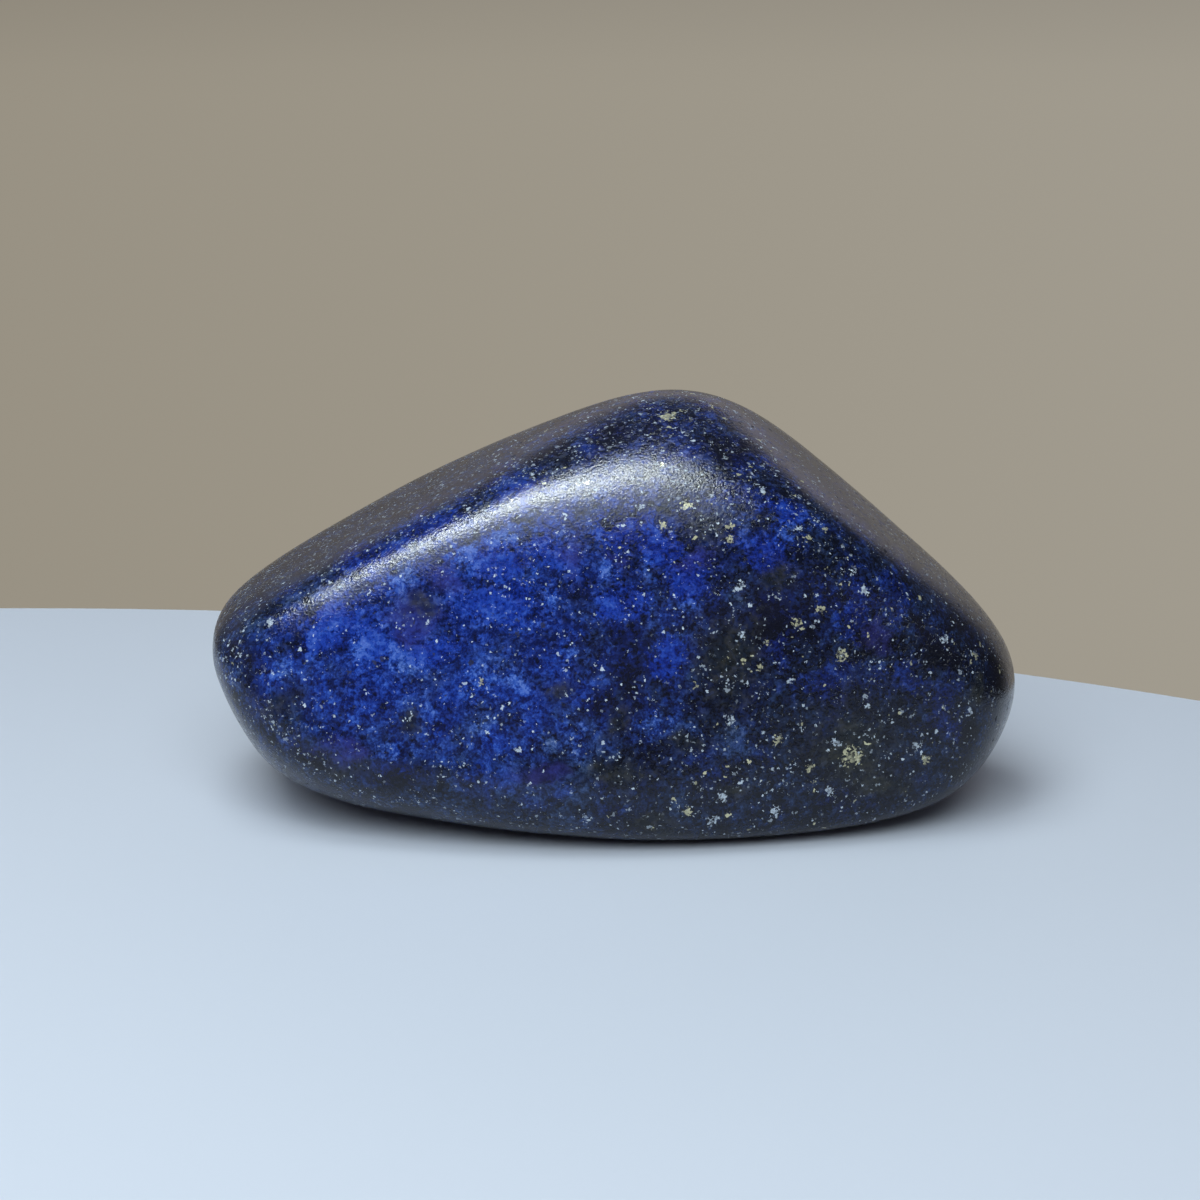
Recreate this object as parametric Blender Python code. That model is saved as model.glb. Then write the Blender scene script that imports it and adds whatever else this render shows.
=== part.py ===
"""Polished lapis lazuli: a hand-sized freeform stone, ground to broad soft flats and tumbled smooth.

One solid. The long axis is X, the broad front face looks along -Y, and the stone stands on a small
flat spot at z = 0 with the origin at the middle of its bounding box on the floor.
"""
import math

import bpy
import bmesh
from mathutils import Vector

MM = 0.001

# Half length, half depth and half height of the lump that the stone is ground from, in mm
LUMP_HALF_SIZE = Vector((32.0, 20.0, 16.0))
# Height of the lump's centre over the face that the stone rests on, in mm
CENTRE_HEIGHT = 13.0
# How crisp the ridges between the flats stay after tumbling: 2 would be a pebble, 40 a cut gem
RIDGE_CRISPNESS = 9.5
# Cells along each edge of the cube that the surface starts as
CELLS = 26

# Each ground flat: the compass direction and the tilt of its outward normal, in degrees
# (0 is +X, -90 is the front, tilt up is positive), and its distance from the lump's centre in mm
FLATS = {
    "front_left": (-99, 25.5, 17.3),
    "front_right": (-78, 3.5, 21.5),
    "top_shoulder": (-98, 64, 18.3),
    "upper_left": (179, 62.5, 15.6),
    "upper_right": (-1, 52, 22.9),
    "left_end": (171, -8, 30.8),
    "left_heel": (195, -26, 28.0),
    "right_end": (-16, -3, 38.4),
    "right_heel": (-7, -42, 33.3),
    "front_belly": (-110, -47.5, 22.2),
    "left_sole": (194, -82, 15.4),
    "middle_sole": (0, -90, 14.2),
    "right_sole": (-6, -86, 15.3),
    "back_left": (114, 13, 17.3),
    "back_right": (63, 5, 17.4),
    "back_shoulder": (95, 50, 17.6),
    "back_belly": (88, -50, 17.2),
}

# Deep ultramarine, polished
STONE_COLOUR = (0.02, 0.04, 0.19, 1.0)
STONE_ROUGHNESS = 0.2


def direction_from_angles(azimuth, tilt):
    """Unit vector of a flat's outward normal."""
    azimuth, tilt = math.radians(azimuth), math.radians(tilt)
    return Vector((math.cos(tilt) * math.cos(azimuth), math.cos(tilt) * math.sin(azimuth), math.sin(tilt)))


def ground_radius(direction, flats):
    """Distance in mm from the lump's centre to the ground surface along a unit direction.

    One flat alone would cut this direction at distance / cos(angle). Where several flats meet, their
    cuts are blended as a power sum, which leaves broad flats and rounds the ridges between them.
    """
    total = 0.0
    for normal, distance in flats:
        facing = direction.dot(normal) / distance
        if facing > 0.0:
            total += facing ** RIDGE_CRISPNESS
    return total ** (-1.0 / RIDGE_CRISPNESS)


def make_stone_mesh():
    """A subdivided cube blown up to the lump, ground to the flats and levelled where it rests."""
    flats = [(direction_from_angles(azimuth, tilt), distance) for azimuth, tilt, distance in FLATS.values()]

    bm = bmesh.new()
    bmesh.ops.create_cube(bm, size=2.0)
    bmesh.ops.subdivide_edges(bm, edges=bm.edges[:], cuts=CELLS - 1, use_grid_fill=True)
    for vert in bm.verts:
        # Equal steps of angle over each side of the cube keep the cells even
        on_ball = Vector([math.tan(c * math.pi / 4) for c in vert.co]).normalized()
        direction = (on_ball * LUMP_HALF_SIZE).normalized()
        point = direction * ground_radius(direction, flats)
        point.z = max(point.z + CENTRE_HEIGHT, 0.0)
        vert.co = point * MM

    low = [min(v.co[axis] for v in bm.verts) for axis in range(3)]
    high = [max(v.co[axis] for v in bm.verts) for axis in range(3)]
    middle_on_floor = Vector(((low[0] + high[0]) / 2, (low[1] + high[1]) / 2, 0.0))
    bmesh.ops.translate(bm, verts=bm.verts[:], vec=-middle_on_floor)
    bmesh.ops.triangulate(bm, faces=bm.faces[:])
    bmesh.ops.recalc_face_normals(bm, faces=bm.faces[:])

    mesh = bpy.data.meshes.new("lapis_stone")
    bm.to_mesh(mesh)
    bm.free()
    mesh.shade_smooth()
    return mesh


def make_stone_material():
    material = bpy.data.materials.new("polished_lapis")
    material.use_nodes = True
    principled = material.node_tree.nodes["Principled BSDF"]
    principled.inputs["Base Color"].default_value = STONE_COLOUR
    principled.inputs["Roughness"].default_value = STONE_ROUGHNESS
    principled.inputs["Metallic"].default_value = 0.0
    return material


def main():
    for leftover in list(bpy.data.objects):
        bpy.data.objects.remove(leftover)

    collection = bpy.data.collections.new("polished_lapis_lazuli")
    bpy.context.scene.collection.children.link(collection)

    stone = bpy.data.objects.new("lapis_stone", make_stone_mesh())
    stone.data.materials.append(make_stone_material())
    collection.objects.link(stone)


main()
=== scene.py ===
"""A polished lapis lazuli stone on a pale round table, in soft light from above.

All sizes are in millimetres unless a name says otherwise. The stone's length is X, its broad front
face looks along -Y, and it rests at z = 0.
"""
import math

import bmesh
import bpy
import numpy as np
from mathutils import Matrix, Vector, noise
from mathutils.bvhtree import BVHTree


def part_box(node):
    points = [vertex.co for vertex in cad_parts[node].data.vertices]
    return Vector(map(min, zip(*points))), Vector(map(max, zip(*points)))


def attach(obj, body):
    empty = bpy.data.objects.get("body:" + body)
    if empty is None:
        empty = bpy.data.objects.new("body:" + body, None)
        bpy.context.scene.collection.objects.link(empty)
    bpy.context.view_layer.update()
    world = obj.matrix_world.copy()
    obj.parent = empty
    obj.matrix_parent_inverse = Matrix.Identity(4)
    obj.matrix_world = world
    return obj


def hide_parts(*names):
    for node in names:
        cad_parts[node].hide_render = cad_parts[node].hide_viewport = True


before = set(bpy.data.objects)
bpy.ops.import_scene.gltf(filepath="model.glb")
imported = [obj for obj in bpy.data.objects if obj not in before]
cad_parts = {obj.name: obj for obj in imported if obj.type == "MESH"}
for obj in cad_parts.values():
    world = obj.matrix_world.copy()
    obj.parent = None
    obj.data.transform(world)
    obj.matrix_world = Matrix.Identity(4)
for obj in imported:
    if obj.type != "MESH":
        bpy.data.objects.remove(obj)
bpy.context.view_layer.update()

MM = 0.001


# The camera stands in front of the stone, a little above it, and looks down on the front face.
# It is far enough away that the stone is seen almost without perspective.
CAMERA_HEIGHT_ANGLE = math.radians(15)
CAMERA_DISTANCE = 300.0
# The point that is in the middle of the picture
CAMERA_AIM = Vector((-1.1, 1.2, 15.1))
PICTURE_WIDTH = 97.4
SENSOR_WIDTH = 36.0

look = Vector((0.0, math.cos(CAMERA_HEIGHT_ANGLE), -math.sin(CAMERA_HEIGHT_ANGLE)))
picture_right = Vector((1.0, 0.0, 0.0))
picture_up = picture_right.cross(look)
camera_place = CAMERA_AIM - look * CAMERA_DISTANCE

camera_data = bpy.data.cameras.new("camera")
camera_data.sensor_width = SENSOR_WIDTH
camera_data.lens = SENSOR_WIDTH * CAMERA_DISTANCE / PICTURE_WIDTH
camera = bpy.data.objects.new("camera", camera_data)
camera.location = camera_place * MM
camera.rotation_euler = (math.pi / 2 - CAMERA_HEIGHT_ANGLE, 0.0, 0.0)
bpy.context.scene.collection.objects.link(camera)
bpy.context.scene.camera = camera


# The stone is one lump of lapis lazuli rock: blue lazurite grown through with white calcite, dark
# pyroxene and grains of pyrite. It was ground to broad flats on a wheel, then tumbled with finer and
# finer grit until the ridges between the flats were round and the whole surface shone.

# The lump and its flats are those of the solid: direction and tilt of each flat's outward normal in
# degrees (0 is +X, -90 is the front), and its distance from the lump's centre
LUMP_HALF_SIZE = (32.0, 20.0, 16.0)
CENTRE_HEIGHT = 13.0
RIDGE_CRISPNESS = 9.5
FLATS = {
    "front_left": (-99, 25.5, 17.3),
    "front_right": (-78, 3.5, 21.5),
    "top_shoulder": (-98, 64, 18.3),
    "upper_left": (179, 62.5, 15.6),
    "upper_right": (-1, 52, 22.9),
    "left_end": (171, -8, 30.8),
    "left_heel": (195, -26, 28.0),
    "right_end": (-16, -3, 38.4),
    "right_heel": (-7, -42, 33.3),
    "front_belly": (-110, -47.5, 22.2),
    "left_sole": (194, -82, 15.4),
    "middle_sole": (0, -90, 14.2),
    "right_sole": (-6, -86, 15.3),
    "back_left": (114, 13, 17.3),
    "back_right": (63, 5, 17.4),
    "back_shoulder": (95, 50, 17.6),
    "back_belly": (88, -50, 17.2),
}
# Cells along each edge of the cube that the surface starts as
STONE_CELLS = 128
# Hand grinding leaves the flats very slightly uneven: the waves' length and depth
WAVES = ((7.0, 0.06), (2.6, 0.02))

# How much blue lazurite each flat has, and how much pale grain. The wheel cut each flat through another
# part of the rock. The low blue on the upper flats is painted shade: it makes the top of the stone darker
# and greyer. The stone is also less blue towards its underside.
ROCK_AND_TOP_SHADE_ON_FLATS = {
    "front_left": (1.0, 0.3),
    "front_right": (0.48, 0.6),
    "top_shoulder": (0.78, 2.6),
    "upper_left": (0.32, 2.0),
    "upper_right": (0.5, 0.6),
    "left_end": (0.12, 4.0),
    "left_heel": (0.35, 2.4),
    "right_end": (0.36, 0.4),
    "right_heel": (0.05, 0.2),
    "front_belly": (0.14, 0.65),
    "left_sole": (0.0, 0.3),
    "middle_sole": (0.0, 0.3),
    "right_sole": (0.0, 0.3),
    "back_left": (0.9, 0.3),
    "back_right": (0.7, 0.5),
    "back_shoulder": (0.6, 0.4),
    "back_belly": (0.5, 0.4),
}


def unit(vectors):
    return vectors / np.linalg.norm(vectors, axis=1, keepdims=True)


def moved_by_noise(places, wave_length, reach):
    """Each place moved about by up to reach mm, the same way as its neighbours."""
    moves = [noise.noise_vector(Vector(point / wave_length)) for point in places]
    return places + reach * np.array(moves)


bm = bmesh.new()
bmesh.ops.create_cube(bm, size=2.0)
bmesh.ops.subdivide_edges(bm, edges=bm.edges[:], cuts=STONE_CELLS - 1, use_grid_fill=True)
cube_points = np.array([vert.co for vert in bm.verts])
directions = unit(unit(np.tan(cube_points * math.pi / 4)) * np.array(LUMP_HALF_SIZE))

# How deep each flat cuts along each direction. Together they set the distance of the surface.
cuts = {}
for name, (azimuth, tilt, distance) in FLATS.items():
    azimuth, tilt = math.radians(azimuth), math.radians(tilt)
    normal = (math.cos(tilt) * math.cos(azimuth), math.cos(tilt) * math.sin(azimuth), math.sin(tilt))
    cuts[name] = np.maximum(directions @ np.array(normal) / distance, 0.0) ** RIDGE_CRISPNESS
all_cuts = sum(cuts.values())
points = directions * (all_cuts ** (-1.0 / RIDGE_CRISPNESS))[:, None]
for wave_length, depth in WAVES:
    waves = np.array([noise.noise(Vector(point / wave_length)) for point in points])
    points += directions * (waves * depth)[:, None]
points[:, 2] = np.maximum(points[:, 2] + CENTRE_HEIGHT, 0.0)

# The solid's origin is the middle of its box, so the finer surface is centred on that box too
solid_low, solid_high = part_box("lapis_stone")
solid_middle = (solid_low + solid_high) / (2 * MM)
middle = (points.min(axis=0) + points.max(axis=0)) / 2
points[:, 0] += solid_middle.x - middle[0]
points[:, 1] += solid_middle.y - middle[1]
for vert, point in zip(bm.verts, points):
    vert.co = Vector(point) * MM
bmesh.ops.recalc_face_normals(bm, faces=bm.faces[:])
surface = BVHTree.FromBMesh(bm)

stone_mesh = bpy.data.meshes.new("polished_stone")
bm.to_mesh(stone_mesh)
bm.free()
stone_mesh.shade_smooth()
stone = bpy.data.objects.new("polished_stone", stone_mesh)
bpy.context.scene.collection.objects.link(stone)


def keep_on_mesh(name, values):
    """Keeps one number per point of the surface, for the material to read."""
    stone_mesh.attributes.new(name, "FLOAT", "POINT").data.foreach_set("value", values.astype(np.float32))


# Each point's blue, with the painted shade on the upper flats, and its grain, blended between the flats
blue_rock_and_top_shade = sum(cuts[name] * blue for name, (blue, grain) in ROCK_AND_TOP_SHADE_ON_FLATS.items())
grainy_rock = sum(cuts[name] * grain for name, (blue, grain) in ROCK_AND_TOP_SHADE_ON_FLATS.items())
keep_on_mesh("blueness_and_top_shade", blue_rock_and_top_shade / all_cuts)
keep_on_mesh("graininess", grainy_rock / all_cuts)

# Minerals in the rock. Each patch on the front is where it is seen: mm to the right of the middle of
# the picture and up from it, then half its width and half its height
PATCHES = {
    # Pure lazurite, the deepest blue
    "lazurite": [
        (-20.7, -1.6, 2.4, 1.4), (-9.7, -0.4, 2.0, 1.6), (-6.9, -0.4, 1.4, 1.6), (-7.7, 3.2, 1.8, 1.6),
        (-4.2, 4.2, 1.3, 1.2), (-13.6, -4.1, 1.6, 1.3), (-22.3, -3.2, 1.6, 1.2), (-18.3, -4.1, 1.3, 1.8),
        (4.7, 4.1, 1.6, 1.4), (2.0, 5.7, 1.4, 1.2), (7.3, 1.5, 2.0, 1.4), (1.8, -0.4, 1.3, 1.3),
        (15.0, 7.1, 1.6, 1.4), (13.4, 3.7, 1.8, 1.3), (20.7, -0.4, 1.4, 2.4), (24.0, 0.0, 1.6, 1.6),
        (19.9, -6.5, 3.2, 1.5), (24.8, -6.5, 1.2, 1.4), (14.6, -4.5, 1.5, 1.1), (5.4, -5.0, 1.0, 1.7),
        (28.0, -8.9, 0.8, 2.4), (-13.8, 6.5, 3.2, 1.4), (-8.1, 8.9, 3.0, 1.4), (-18.7, 4.1, 3.0, 1.4),
    ],
    # Lazurite clouded by fine calcite, a paler sky blue. The first three, along the lower edge of the
    # highlight, are painted reflection: the pale sheen below the highlight drawn as paler blue rock.
    "haze_and_sheen": [
        (-7.5, 5.5, 1.5, 1.5), (-10.2, 3.6, 1.2, 1.0), (-16.2, 1.6, 1.3, 1.4), (-16.1, -5.3, 1.2, 1.2),
        (-19.5, -4.1, 1.0, 1.0), (-9.2, -6.3, 1.2, 0.8), (-8.9, -10.2, 1.0, 1.0), (-13.4, -9.2, 0.7, 0.8),
        (-6.9, -6.9, 1.3, 0.8), (-3.7, 0.8, 1.0, 1.0), (-2.2, -11.8, 0.8, 1.3), (-1.1, -13.2, 0.9, 0.8),
        (-26.4, -5.7, 1.2, 1.2), (0.4, 2.0, 0.8, 0.8), (-2.8, -4.1, 0.8, 0.8), (-4.5, -11.4, 1.2, 0.9),
        (6.9, -0.4, 0.8, 0.8), (10.1, 0.3, 0.6, 0.8), (5.3, -10.6, 2.8, 0.8), (11.4, -11.4, 1.5, 1.0),
        (4.1, 2.0, 0.7, 1.2), (-17.5, -12.2, 1.5, 0.8), (-29.6, -7.3, 0.8, 1.2), (14.6, 5.7, 1.0, 0.8),
    ],
    # Rock with little lazurite in it, almost black
    "dark": [
        (-9.7, 1.9, 0.5, 0.5), (-6.0, 3.0, 0.6, 0.5), (-4.9, -3.2, 0.8, 1.2), (-2.8, -1.4, 0.6, 0.7),
        (-0.8, 1.0, 1.1, 0.9), (0.5, 3.8, 0.8, 1.0), (-15.8, -3.2, 0.8, 1.0), (-28.3, -5.7, 1.0, 2.4),
        (-24.4, -3.7, 0.6, 1.4), (-16.2, -14.5, 2.8, 1.0), (-23.5, -12.7, 1.5, 0.9),
        (-4.5, -14.2, 1.5, 0.9), (0.0, -8.1, 1.0, 1.3), (2.6, -5.3, 1.5, 2.0), (14.0, -1.8, 2.2, 2.0),
        (8.9, 3.0, 0.8, 0.8), (27.6, -4.6, 1.7, 1.3), (32.5, -6.5, 0.8, 2.4), (29.6, -11.0, 1.2, 1.2),
        (10.6, 12.4, 1.6, 1.8), (0.8, 13.6, 1.8, 1.2), (-3.2, 11.8, 2.2, 1.0),
    ],
    # Pyroxene and weathered pyrite, olive brown
    "olive": [
        (-14.5, -0.8, 0.9, 1.2), (-13.2, -7.3, 0.7, 0.9), (-15.2, -9.4, 0.8, 0.9), (-3.2, -6.8, 1.2, 0.8),
        (-26.0, -8.6, 1.8, 1.2), (-20.7, -13.6, 1.6, 0.8), (-23.4, 2.4, 2.2, 0.9), (10.6, -4.9, 2.8, 4.4),
        (14.2, 1.9, 1.4, 1.2), (8.5, 5.7, 1.8, 2.0), (20.3, -11.8, 3.6, 3.6), (1.6, -13.8, 2.8, 1.4),
        (6.7, -11.8, 1.8, 0.8), (1.2, -9.7, 0.8, 1.3), (22.7, -15.0, 3.0, 1.2), (30.4, -7.3, 1.0, 1.6),
        (10.6, -16.0, 1.2, 0.8), (4.0, -18.3, 2.0, 0.8),
    ],
    # Sodalite, a duller violet blue. Those under the left part of the highlight are partly painted
    # reflection: the lavender sheen below the highlight drawn into the rock.
    "violet_and_sheen": [
        (-15.0, -1.6, 2.2, 2.2), (-2.3, 3.9, 0.8, 1.8), (1.8, 3.0, 1.1, 1.2), (-20.3, -12.2, 2.4, 1.0),
        (-13.0, 1.6, 2.0, 1.2), (22.7, -2.6, 1.6, 1.2), (-4.9, -14.2, 2.2, 1.0), (7.3, 2.8, 1.5, 1.0),
    ],
}
# How fast a patch fades out
PATCH_FADE = 0.7
# Patches of each mineral on the sides that the front view doesn't show, their usual half size, how many
# times that size the smallest and the largest are, and the seed of their random places
HIDDEN_PATCH_COUNTS = {"lazurite": 60, "haze_and_sheen": 50, "dark": 55, "olive": 35, "violet_and_sheen": 25}
HIDDEN_PATCH_SIZE = 1.6
HIDDEN_PATCH_SPREAD = (0.4, 1.6)
HIDDEN_PATCH_SEED = 41
# The front view doesn't show the points that it sees edge-on or from behind: those where the cosine
# between its direction and the surface's normal is more than this
HIDDEN_COSINE = -0.12
# Nothing in the rock is round: the patches' outlines wander, by these wave lengths and reaches, and
# the same way each time
PATCH_WANDER = ((3.5, 1.2), (1.4, 0.7))
PATCH_WANDER_SEED = 1619


def seen_point(across, up):
    """The point of the stone, in mm, that the camera sees at this place in the picture."""
    toward = (CAMERA_AIM + picture_right * across + picture_up * up - camera_place).normalized()
    hit = surface.ray_cast(camera_place * MM, toward)[0]
    return None if hit is None else hit / MM


noise.seed_set(PATCH_WANDER_SEED)
wandered_points = points
for wave_length, reach in PATCH_WANDER:
    wandered_points = moved_by_noise(wandered_points, wave_length, reach)


def patch_strength(centre, half_width, half_height):
    """How strong a patch is at each point of the stone: 1 in its middle, fading out past its edge."""
    offset = wandered_points - np.array(centre)
    across = offset @ np.array(picture_right) / half_width
    up = offset @ np.array(picture_up) / half_height
    deep = offset @ np.array(look) / max(half_width, half_height)
    return np.exp(-PATCH_FADE * (across ** 2 + up ** 2 + deep ** 2))


random = np.random.default_rng(HIDDEN_PATCH_SEED)
normals = np.array([vert.normal for vert in stone_mesh.vertices])
hidden = np.flatnonzero(normals @ np.array(look) > HIDDEN_COSINE)
for mineral, patches in PATCHES.items():
    strength = np.zeros(len(points))
    for across, up, half_width, half_height in patches:
        centre = seen_point(across, up)
        if centre is not None:
            strength = np.maximum(strength, patch_strength(centre, half_width, half_height))
    for index in random.choice(hidden, HIDDEN_PATCH_COUNTS[mineral]):
        half_width, half_height = HIDDEN_PATCH_SIZE * random.uniform(*HIDDEN_PATCH_SPREAD, 2)
        strength = np.maximum(strength, patch_strength(points[index], half_width, half_height))
    keep_on_mesh(mineral, strength)

# Single large grains on the front: where each is seen, its half size, and 1 for pyrite or 0 for calcite
LARGE_GRAINS = [
    (5.5, 14.9, 0.7, 1), (3.2, 7.6, 0.3, 0), (5.1, 6.1, 0.4, 1), (6.9, 7.6, 0.45, 1),
    (10.5, 5.9, 0.35, 1), (10.5, 4.9, 0.3, 1), (13.2, 8.9, 0.35, 0), (16.2, 5.8, 0.25, 0),
    (16.9, 5.0, 0.3, 1), (11.4, 1.1, 0.35, 0), (20.5, 2.3, 0.25, 0), (21.4, 0.7, 0.4, 0),
    (18.0, -0.9, 0.35, 1), (16.1, -1.9, 0.45, 1), (19.6, -4.5, 0.45, 1), (11.6, -4.9, 0.2, 1),
    (12.9, -5.5, 0.22, 1), (11.5, -2.8, 0.2, 0), (13.5, -3.5, 0.2, 1), (15.5, -6.6, 0.25, 0),
    (21.8, -8.6, 0.25, 0), (10.6, -9.8, 0.35, 0), (14.4, -11.4, 0.35, 1), (19.2, -11.6, 0.4, 0),
    (20.5, -12.7, 0.75, 1), (26.5, -13.0, 0.4, 1), (25.6, -11.8, 0.35, 0), (17.1, -13.6, 0.3, 1),
    (18.7, -15.4, 0.35, 0), (7.1, -17.1, 0.4, 1), (9.9, -16.0, 0.4, 0), (9.2, -17.9, 0.45, 0),
    (14.2, -17.2, 0.4, 0), (30.5, -4.5, 0.35, 1), (28.0, -3.2, 0.3, 0), (30.0, -9.1, 0.3, 0),
    (-26.8, -1.8, 0.35, 0), (-9.5, -6.7, 0.25, 1), (-1.1, -17.7, 0.3, 0), (-3.2, -17.5, 0.25, 0),
]


def fill(tree, socket, value):
    """Sets an input to a value, or links another node's output to it."""
    if isinstance(value, bpy.types.NodeSocket):
        tree.links.new(value, socket)
    else:
        socket.default_value = value


def add_node(tree, kind, inputs=(), **settings):
    """Adds a node, with its settings, and fills its inputs with values or with other nodes' outputs."""
    made = tree.nodes.new(kind)
    for name, value in settings.items():
        setattr(made, name, value)
    for socket, value in dict(inputs).items():
        fill(tree, made.inputs[socket], value)
    return made


def add_math(tree, operation, first, second=0.0, third=0.0):
    made = add_node(tree, "ShaderNodeMath", {0: first, 1: second, 2: third}, operation=operation)
    return made.outputs[0]


def add_vector_math(tree, operation, *values):
    made = add_node(tree, "ShaderNodeVectorMath", dict(enumerate(values)), operation=operation)
    return made.outputs["Value" if operation == "DISTANCE" else "Vector"]


def add_step(tree, value, low, high, from_value=0.0, to_value=1.0):
    """A soft step from from_value to to_value as value goes from low to high."""
    inputs = {"Value": value, "From Min": low, "From Max": high, "To Min": from_value, "To Max": to_value}
    return add_node(tree, "ShaderNodeMapRange", inputs, interpolation_type="SMOOTHSTEP").outputs["Result"]


def add_mix(tree, mask, under, over):
    """The colour under, with the colour over laid on it by the mask."""
    mix = add_node(tree, "ShaderNodeMix", data_type="RGBA")
    colour_sockets = [socket for socket in mix.inputs if socket.type == "RGBA"]
    for socket, value in zip([mix.inputs["Factor"], *colour_sockets], (mask, under, over)):
        fill(tree, socket, value)
    return next(socket for socket in mix.outputs if socket.type == "RGBA")


def add_noise(tree, place, per_mm, detail=3.0, roughness=0.55, output="Fac"):
    inputs = {"Vector": place, "Scale": per_mm, "Detail": detail, "Roughness": roughness}
    return add_node(tree, "ShaderNodeTexNoise", inputs).outputs[output]


def add_ragged_place(tree, place, per_mm, reach):
    """The place moved about by up to reach mm, so that what is drawn there gets a ragged outline."""
    wander = add_noise(tree, place, per_mm, detail=1.0, output="Color")
    wander = add_vector_math(tree, "SUBTRACT", wander, (0.5, 0.5, 0.5))
    return add_vector_math(tree, "MULTIPLY_ADD", wander, (2 * reach, 2 * reach, 2 * reach), place)


# Grains of one mineral scattered through the rock, each with its own jagged outline, size and shade.
# Lengths here are in spacings between grains: how fine and deep the outlines' jags are, how fine and deep
# the grains are broken, and how soft their edges are
GRAIN_JAGS = (2.0, 0.4)
GRAIN_BREAKS = (2.6, 1.1)
GRAIN_EDGE = 0.05
# Radius of the smallest grains as a share of the largest, and how much small ones outnumber large ones
SMALLEST_GRAIN = 0.25
SMALL_GRAIN_POWER = 3.0

grain_group = bpy.data.node_groups.new("scattered_grains", "ShaderNodeTree")
for name, kind in (
    ("Place", "NodeSocketVector"), ("Grains per mm", "NodeSocketFloat"),
    ("Share", "NodeSocketFloat"), ("Largest Radius", "NodeSocketFloat"),
):
    grain_group.interface.new_socket(name=name, in_out="INPUT", socket_type=kind)
for name in ("Mask", "Shade"):
    grain_group.interface.new_socket(name=name, in_out="OUTPUT", socket_type="NodeSocketFloat")
given = grain_group.nodes.new("NodeGroupInput").outputs
in_cells = {0: given["Place"], "Scale": given["Grains per mm"]}
in_cells = add_node(grain_group, "ShaderNodeVectorMath", in_cells, operation="SCALE").outputs["Vector"]
jagged = add_ragged_place(grain_group, in_cells, *GRAIN_JAGS)
cells = add_node(grain_group, "ShaderNodeTexVoronoi", {"Vector": jagged, "Scale": 1.0})
lot = add_node(grain_group, "ShaderNodeSeparateColor", {"Color": cells.outputs["Color"]}).outputs
size_share = add_math(grain_group, "POWER", lot[1], SMALL_GRAIN_POWER)
size_share = add_math(grain_group, "MULTIPLY_ADD", size_share, 1.0 - SMALLEST_GRAIN, SMALLEST_GRAIN)
radius = add_math(grain_group, "MULTIPLY", size_share, given["Largest Radius"])
broken = add_noise(grain_group, in_cells, GRAIN_BREAKS[0], detail=2.0)
broken = add_math(grain_group, "SUBTRACT", broken, 0.5)
inside = add_math(grain_group, "SUBTRACT", radius, cells.outputs["Distance"])
inside = add_math(grain_group, "MULTIPLY_ADD", broken, GRAIN_BREAKS[1], inside)
inside = add_step(grain_group, inside, 0.0, GRAIN_EDGE)
is_grain = add_math(grain_group, "LESS_THAN", lot[0], given["Share"])
result = grain_group.nodes.new("NodeGroupOutput").inputs
grain_group.links.new(add_math(grain_group, "MULTIPLY", inside, is_grain), result["Mask"])
grain_group.links.new(lot[2], result["Shade"])

# Colours of the blue rock from its darkest to its palest crystals, as linear light: where it is nearly
# pure lazurite, and where it is dulled by other minerals
PURE_BLUES = (
    (0.10, (0.003, 0.005, 0.024, 1.0)), (0.32, (0.003, 0.009, 0.085, 1.0)),
    (0.50, (0.006, 0.022, 0.180, 1.0)), (0.68, (0.012, 0.046, 0.310, 1.0)),
    (0.84, (0.027, 0.088, 0.410, 1.0)), (1.00, (0.075, 0.150, 0.500, 1.0)),
)
DULL_BLUES = (
    (0.10, (0.003, 0.004, 0.010, 1.0)), (0.32, (0.007, 0.011, 0.030, 1.0)),
    (0.50, (0.012, 0.023, 0.062, 1.0)), (0.68, (0.024, 0.048, 0.125, 1.0)),
    (0.84, (0.046, 0.080, 0.180, 1.0)), (1.00, (0.120, 0.160, 0.280, 1.0)),
)
DEEP_BLUE = (0.004, 0.020, 0.270, 1.0)
VIOLET_BLUE = (0.036, 0.036, 0.210, 1.0)
BLACK_BLUE = (0.003, 0.004, 0.012, 1.0)
OLIVE_BLACK = (0.007, 0.010, 0.012, 1.0)
OLIVE_BROWN = (0.028, 0.028, 0.021, 1.0)
CALCITE_WHITE = (0.52, 0.60, 0.70, 1.0)
PYRITE_GOLD = (0.62, 0.60, 0.40, 1.0)
# Scattered grains: how many there are to a millimetre, and the radius of the largest in spacings
BLACK_GRAINS = (2.0, 0.45)
CALCITE_DUST = (3.4, 0.42)
CALCITE_GRAINS = (1.7, 0.34)
PYRITE_GRAINS = (1.2, 0.28)
CRYSTALS_PER_MM = 3.2
CRUMBS_PER_MM = 5.5
# Towards the stone's right end the rock is darker and has more pyrite. It changes between these places.
RIGHT_END_ROCK = (-12.0, 16.0)
# Lapis bends light as glass does, and its polish is a little duller than that of glass. The crystals
# stand out of the polish by about this depth.
LAPIS_REFRACTION = 1.5
LAPIS_SHINE = 0.38
RELIEF_DEPTH = 0.032

lapis = bpy.data.materials.new("polished_lapis")
lapis.use_nodes = True
tree = lapis.node_tree
polish = tree.nodes["Principled BSDF"]

place = add_node(tree, "ShaderNodeTexCoord").outputs["Object"]
place = add_vector_math(tree, "MULTIPLY", place, (1 / MM, 1 / MM, 1 / MM))
ragged_place = add_ragged_place(tree, place, per_mm=1.5, reach=0.5)
crystal_place = add_ragged_place(tree, place, per_mm=5.0, reach=0.12)
along = add_node(tree, "ShaderNodeSeparateXYZ", {0: place}).outputs["X"]
rightness = add_step(tree, along, *RIGHT_END_ROCK)
# How blue the rock is, lowered on the upper flats as painted shade
blueness_and_top_shade = add_node(tree, "ShaderNodeAttribute", attribute_name="blueness_and_top_shade").outputs["Fac"]
graininess = add_node(tree, "ShaderNodeAttribute", attribute_name="graininess").outputs["Fac"]

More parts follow.
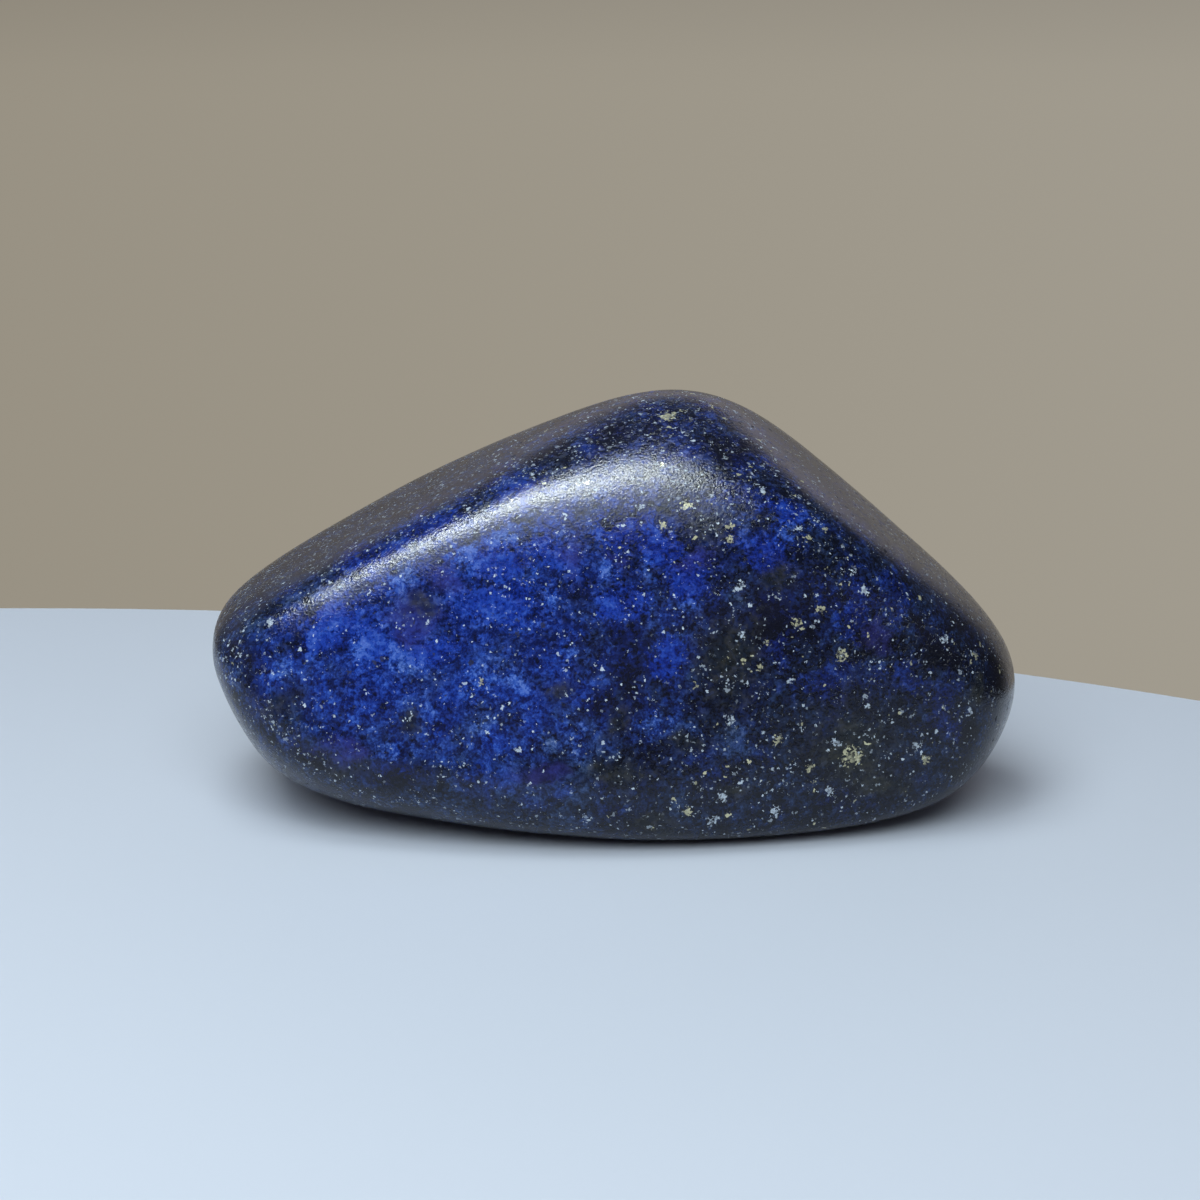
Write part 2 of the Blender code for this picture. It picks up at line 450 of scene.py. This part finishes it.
# The interlocking crystals of the rock are a third of a millimetre across, each with its own shade,
# and they come in clouds of lighter and darker blue
crystals = add_node(tree, "ShaderNodeTexVoronoi", {"Vector": crystal_place, "Scale": CRYSTALS_PER_MM})
crystal_shade = add_node(tree, "ShaderNodeSeparateColor", {"Color": crystals.outputs["Color"]}).outputs[0]
fine = add_noise(tree, place, per_mm=5.0, detail=2.0, roughness=0.6)
mottle = add_noise(tree, place, per_mm=1.4, detail=4.0, roughness=0.6)
clouds = add_noise(tree, ragged_place, per_mm=0.45, detail=3.0, roughness=0.6)


def add_sum(tree, start, *layers):
    """Start plus each layer's value times its weight; the layers swing about their given middle."""
    total = start
    for layer, middle, weight in layers:
        total = add_math(tree, "MULTIPLY_ADD", add_math(tree, "SUBTRACT", layer, middle), weight, total)
    return total


def add_patches(mineral, low, high, share):
    """Where a mineral's patches are. Their borders are broken up by the grain of the rock."""
    strength = add_node(tree, "ShaderNodeAttribute", attribute_name=mineral).outputs["Fac"]
    strength = add_sum(tree, strength, (mottle, 0.5, 1.3), (fine, 0.5, 0.7), (clouds, 0.5, 0.6))
    return add_step(tree, strength, low, high, 0.0, share)


def add_ramp(tree, value, stops):
    """The colour of a row of stops at a value."""
    made = add_node(tree, "ShaderNodeValToRGB", {"Fac": value})
    ramp = made.color_ramp
    ramp.elements[0].position, ramp.elements[0].color = stops[0]
    ramp.elements[1].position, ramp.elements[1].color = stops[-1]
    for position, shade in stops[1:-1]:
        ramp.elements.new(position).color = shade
    return made.outputs["Color"]


lazurite = add_patches("lazurite", low=0.2, high=0.9, share=1.0)
lazurite = add_math(tree, "MULTIPLY", lazurite, add_step(tree, blueness_and_top_shade, 0.3, 1.0, 0.25, 1.0))
# Paler blue patches; those along the lower edge of the highlight are painted reflection
haze_and_sheen = add_patches("haze_and_sheen", low=0.3, high=1.0, share=1.0)
dark = add_patches("dark", low=0.3, high=0.9, share=1.0)
olive = add_patches("olive", low=0.25, high=1.0, share=0.78)
# Violet patches; those under the left part of the highlight are partly painted reflection
violet_and_sheen = add_patches("violet_and_sheen", low=0.3, high=1.1, share=0.45)

# How pale the blue is: a middle tone, and what each layer adds to it
tone = add_sum(
    tree, 0.355,
    (clouds, 0.5, 0.9), (mottle, 0.5, 0.9), (fine, 0.5, 0.9), (crystal_shade, 0.5, 0.3),
    (blueness_and_top_shade, 0.0, 0.14), (lazurite, 0.0, 0.12), (haze_and_sheen, 0.0, 0.28),
    (dark, 0.0, -0.25), (rightness, 0.0, -0.15),
)
# How pure it is, in clouds that lie elsewhere in the rock than those of the tone
other_clouds = add_vector_math(tree, "ADD", ragged_place, (40.0, 0.0, 0.0))
other_clouds = add_noise(tree, other_clouds, per_mm=0.35, detail=3.0)
purity = add_sum(
    tree, -0.16,
    (blueness_and_top_shade, 0.0, 0.92), (other_clouds, 0.5, 1.3), (mottle, 0.5, 0.5),
    (lazurite, 0.0, 0.5), (rightness, 0.0, -0.04),
)
purity = add_step(tree, purity, 0.15, 0.95)
colour = add_mix(tree, purity, add_ramp(tree, tone, DULL_BLUES), add_ramp(tree, tone, PURE_BLUES))
deep_blue = add_math(tree, "MULTIPLY", lazurite, add_step(tree, fine, 0.35, 0.65, 0.1, 0.5))
colour = add_mix(tree, deep_blue, colour, DEEP_BLUE)
colour = add_mix(tree, violet_and_sheen, colour, VIOLET_BLUE)
olive_shade = add_mix(tree, add_step(tree, mottle, 0.42, 0.64), OLIVE_BLACK, OLIVE_BROWN)
colour = add_mix(tree, olive, colour, olive_shade)


def add_grains(kind, share):
    """The mask and the shades of one kind of scattered grains, placed apart from the other kinds."""
    per_mm, largest_radius = kind
    inputs = {
        "Place": add_vector_math(tree, "ADD", place, (per_mm * 31.0, 0.0, 0.0)),
        "Grains per mm": per_mm,
        "Share": share,
        "Largest Radius": largest_radius,
    }
    made = add_node(tree, "ShaderNodeGroup", inputs, node_tree=grain_group)
    return made.outputs["Mask"], made.outputs["Shade"]


# Black grains, then pale calcite dust, larger calcite grains and pyrite. They come in clusters.
clouds_of_grains = add_noise(tree, place, per_mm=0.6, detail=4.0, roughness=0.65)
clouds_of_grains = add_step(tree, clouds_of_grains, 0.44, 0.62)
richness = add_sum(tree, 0.10, (clouds_of_grains, 0.0, 1.2), (olive, 0.0, 0.5))
richness = add_math(tree, "MULTIPLY", graininess, richness)
black_share = add_sum(tree, 0.04, (clouds_of_grains, 0.0, 0.2), (graininess, 0.0, 0.06))
black_grains = add_grains(BLACK_GRAINS, black_share)[0]
colour = add_mix(tree, add_math(tree, "MULTIPLY", black_grains, 0.7), colour, BLACK_BLUE)
dust_share = add_math(tree, "MULTIPLY_ADD", richness, 0.9, 0.09)
dust, dust_shade = add_grains(CALCITE_DUST, dust_share)
dust_light = add_math(tree, "MULTIPLY_ADD", add_math(tree, "POWER", dust_shade, 1.5), 0.95, 0.06)
dust_tone = add_math(tree, "MULTIPLY", dust, dust_light)
colour = add_mix(tree, dust_tone, colour, CALCITE_WHITE)
calcite_share = add_math(tree, "MULTIPLY_ADD", richness, 0.60, 0.03)
calcite, calcite_shade = add_grains(CALCITE_GRAINS, calcite_share)
calcite_light = add_math(tree, "MULTIPLY_ADD", calcite_shade, 0.7, 0.25)
calcite_tone = add_math(tree, "MULTIPLY", calcite, calcite_light)
colour = add_mix(tree, calcite_tone, colour, CALCITE_WHITE)
pyrite_share = add_math(tree, "MULTIPLY_ADD", rightness, 0.4, 0.03)
pyrite_share = add_math(tree, "MULTIPLY", richness, pyrite_share)
pyrite, pyrite_shade = add_grains(PYRITE_GRAINS, pyrite_share)
pyrite_light = add_math(tree, "MULTIPLY_ADD", pyrite_shade, 0.6, 0.35)
pyrite_tone = add_math(tree, "MULTIPLY", pyrite, pyrite_light)
colour = add_mix(tree, pyrite_tone, colour, PYRITE_GOLD)

# The large grains are crumbly: each is a knot of small crystals with dark gaps between them. The distance
# to the nearest grain of each kind is counted in that grain's half sizes.
grain_edge = add_ragged_place(tree, place, per_mm=2.5, reach=0.35)
crumbs = add_node(tree, "ShaderNodeTexVoronoi", {"Vector": crystal_place, "Scale": CRUMBS_PER_MM})
crumb_shade = add_node(tree, "ShaderNodeSeparateColor", {"Color": crumbs.outputs["Color"]}).outputs[1]
FAR_AWAY = 9.0
nearest = [FAR_AWAY, FAR_AWAY]
for across, up, half_size, is_pyrite in LARGE_GRAINS:
    centre = seen_point(across, up)
    if centre is not None:
        apart = add_vector_math(tree, "DISTANCE", grain_edge, centre)
        apart = add_math(tree, "DIVIDE", apart, half_size)
        nearest[is_pyrite] = add_math(tree, "MINIMUM", nearest[is_pyrite], apart)
crumb_light = add_math(tree, "MULTIPLY_ADD", crumb_shade, 0.85, 0.02)
large_grains = []
for apart in nearest:
    crumbly = add_sum(tree, 1.0, (crumb_shade, 0.5, 1.2), (fine, 0.5, 2.0), (apart, 0.0, -1.15))
    crumbly = add_step(tree, crumbly, 0.0, 0.3)
    large_grains.append(add_math(tree, "MULTIPLY", crumbly, crumb_light))
large_calcite, large_pyrite = large_grains
colour = add_mix(tree, large_calcite, colour, CALCITE_WHITE)
colour = add_mix(tree, large_pyrite, colour, PYRITE_GOLD)
tree.links.new(colour, polish.inputs["Base Color"])

metal = add_math(tree, "MULTIPLY", add_math(tree, "MAXIMUM", pyrite_tone, large_pyrite), 0.3)
tree.links.new(metal, polish.inputs["Metallic"])

# The blue takes a high polish, and the softer and harder grains in it stay a little rough
pale_grains = add_math(tree, "MAXIMUM", calcite, dust)
matt_crystals = add_step(tree, crystal_shade, 0.80, 0.84)
roughness = add_sum(
    tree, 0.07,
    (add_step(tree, mottle, 0.4, 0.6), 0.0, 0.05), (graininess, 0.0, 0.03), (rightness, 0.0, 0.02),
    (pale_grains, 0.0, 0.2), (black_grains, 0.0, 0.35), (matt_crystals, 0.0, 0.12),
)
tree.links.new(roughness, polish.inputs["Roughness"])
polish.inputs["IOR"].default_value = LAPIS_REFRACTION
polish.inputs["Specular IOR Level"].default_value = LAPIS_SHINE

relief = add_sum(tree, fine, (crystal_shade, 0.0, 0.7), (dust, 0.0, -0.5))
bump_inputs = {"Height": relief, "Strength": 1.0, "Distance": RELIEF_DEPTH * MM}
bump = add_node(tree, "ShaderNodeBump", bump_inputs)
tree.links.new(bump.outputs["Normal"], polish.inputs["Normal"])

stone_mesh.materials.append(lapis)
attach(stone, "root")
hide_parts("lapis_stone")


# The stage is a pale, matt, round table whose far edge shows behind the stone. It ends just in front
# of the stone, below the picture.
TABLE_RADIUS = 203.0
TABLE_CENTRE = (-56.5, -148.5)
TABLE_FRONT = -90.0
TABLE_EDGE_POINTS = 256
TABLE_COLOUR = (0.625, 0.665, 0.76, 1.0)
TABLE_ROUGHNESS = 0.7

table_data = bpy.data.meshes.new("table_top")
bm = bmesh.new()
bmesh.ops.create_circle(bm, cap_ends=True, segments=TABLE_EDGE_POINTS, radius=TABLE_RADIUS * MM)
for vert in bm.verts:
    vert.co.y = max(vert.co.y, (TABLE_FRONT - TABLE_CENTRE[1]) * MM)
bm.to_mesh(table_data)
bm.free()
table = bpy.data.objects.new("table_top", table_data)
table.location = (TABLE_CENTRE[0] * MM, TABLE_CENTRE[1] * MM, 0.0)
bpy.context.scene.collection.objects.link(table)
table_paint = bpy.data.materials.new("matt_pale_table")
table_paint.use_nodes = True
table_shader = table_paint.node_tree.nodes["Principled BSDF"]
table_shader.inputs["Base Color"].default_value = TABLE_COLOUR
table_shader.inputs["Roughness"].default_value = TABLE_ROUGHNESS
table_data.materials.append(table_paint)


# The light is a long soft lamp overhead, brighter along its back edge, and a soft fill light from the
# front. The room's walls are beige behind the stone, dark at both ends and in front, and get lighter
# upwards to a dark ceiling. The polish mirrors them.
LAMP_COLOUR = (0.87, 0.97, 0.99)
# Each lamp: its place, its tilt towards the stone and its turn in degrees, its length and width, its
# power, whether the polish mirrors it, and whether it lights what is matt
LAMPS = {
    "bright_lamp": ((-130, 18, 380), (0, 20), (290, 66), 2.15, True, False),
    "soft_lamp": ((-128, -90, 380), (0, 32), (300, 220), 0.7, True, True),
    "front_fill": ((-90, -420, 400), (46, 0), (600, 400), 2.95, False, True),
}
for name, (lamp_place, (tilt, turn), size, power, is_mirrored, lights_matt) in LAMPS.items():
    lamp_data = bpy.data.lights.new(name, "AREA")
    lamp_data.shape = "ELLIPSE"
    lamp_data.size = size[0] * MM
    lamp_data.size_y = size[1] * MM
    lamp_data.energy = power
    lamp_data.color = LAMP_COLOUR
    lamp = bpy.data.objects.new(name, lamp_data)
    lamp.location = Vector(lamp_place) * MM
    lamp.rotation_euler = (math.radians(tilt), 0.0, math.radians(turn))
    lamp.visible_glossy = is_mirrored
    lamp.visible_diffuse = lights_matt
    bpy.context.scene.collection.objects.link(lamp)

# The walls' colours from left to right, as the stone sees them: 0 is far left, 1 is far right
WALLS = (
    # The left wall
    (0.30, (0.12, 0.12, 0.13, 1.0)),
    # The back wall
    (0.41, (0.314, 0.283, 0.227, 1.0)),
    (0.62, (0.365, 0.337, 0.283, 1.0)),
    # Its right corner, then the right wall
    (0.71, (0.36, 0.345, 0.33, 1.0)),
    (0.78, (0.05, 0.05, 0.05, 1.0)),
)
FRONT_WALL = (0.10, 0.095, 0.085, 1.0)
# Where the front wall fades into the others, from front (-1) to back (1)
FRONT_WALL_FADE = (-0.5, 0.1)
CEILING = (0.05, 0.055, 0.065, 1.0)
# The walls get lighter and cooler upwards: each height, where 0.5 is the horizon and 1 is overhead, and
# how light they are there
WALL_LIGHT = (
    (0.44, (1.0, 1.0, 1.0, 1.0)), (0.48, (0.60, 0.60, 0.62, 1.0)), (0.55, (0.90, 0.90, 0.98, 1.0)),
    (0.64, (1.75, 1.75, 2.15, 1.0)), (0.72, (3.2, 3.2, 4.0, 1.0)),
)
# Where the walls end, as the sine of the angle above the horizon, and how softly
WALL_TOP = 0.44
WALL_TOP_BLUR = 0.02

room = bpy.data.worlds.new("room")
bpy.context.scene.world = room
room.use_nodes = True
sky = room.node_tree
seen_way = add_node(sky, "ShaderNodeTexCoord").outputs["Generated"]
seen_way = add_node(sky, "ShaderNodeSeparateXYZ", {0: seen_way}).outputs
walls = add_ramp(sky, add_math(sky, "MULTIPLY_ADD", seen_way["X"], 0.5, 0.5), WALLS)
walls = add_mix(sky, add_step(sky, seen_way["Y"], *FRONT_WALL_FADE), FRONT_WALL, walls)
wall_light = add_ramp(sky, add_math(sky, "MULTIPLY_ADD", seen_way["Z"], 0.5, 0.5), WALL_LIGHT)
walls = add_vector_math(sky, "MULTIPLY", walls, wall_light)
above_wall = add_step(sky, seen_way["Z"], WALL_TOP - WALL_TOP_BLUR, WALL_TOP + WALL_TOP_BLUR)
sky.links.new(add_mix(sky, above_wall, walls, CEILING), sky.nodes["Background"].inputs["Color"])
bpy.context.scene.view_settings.view_transform = "Standard"
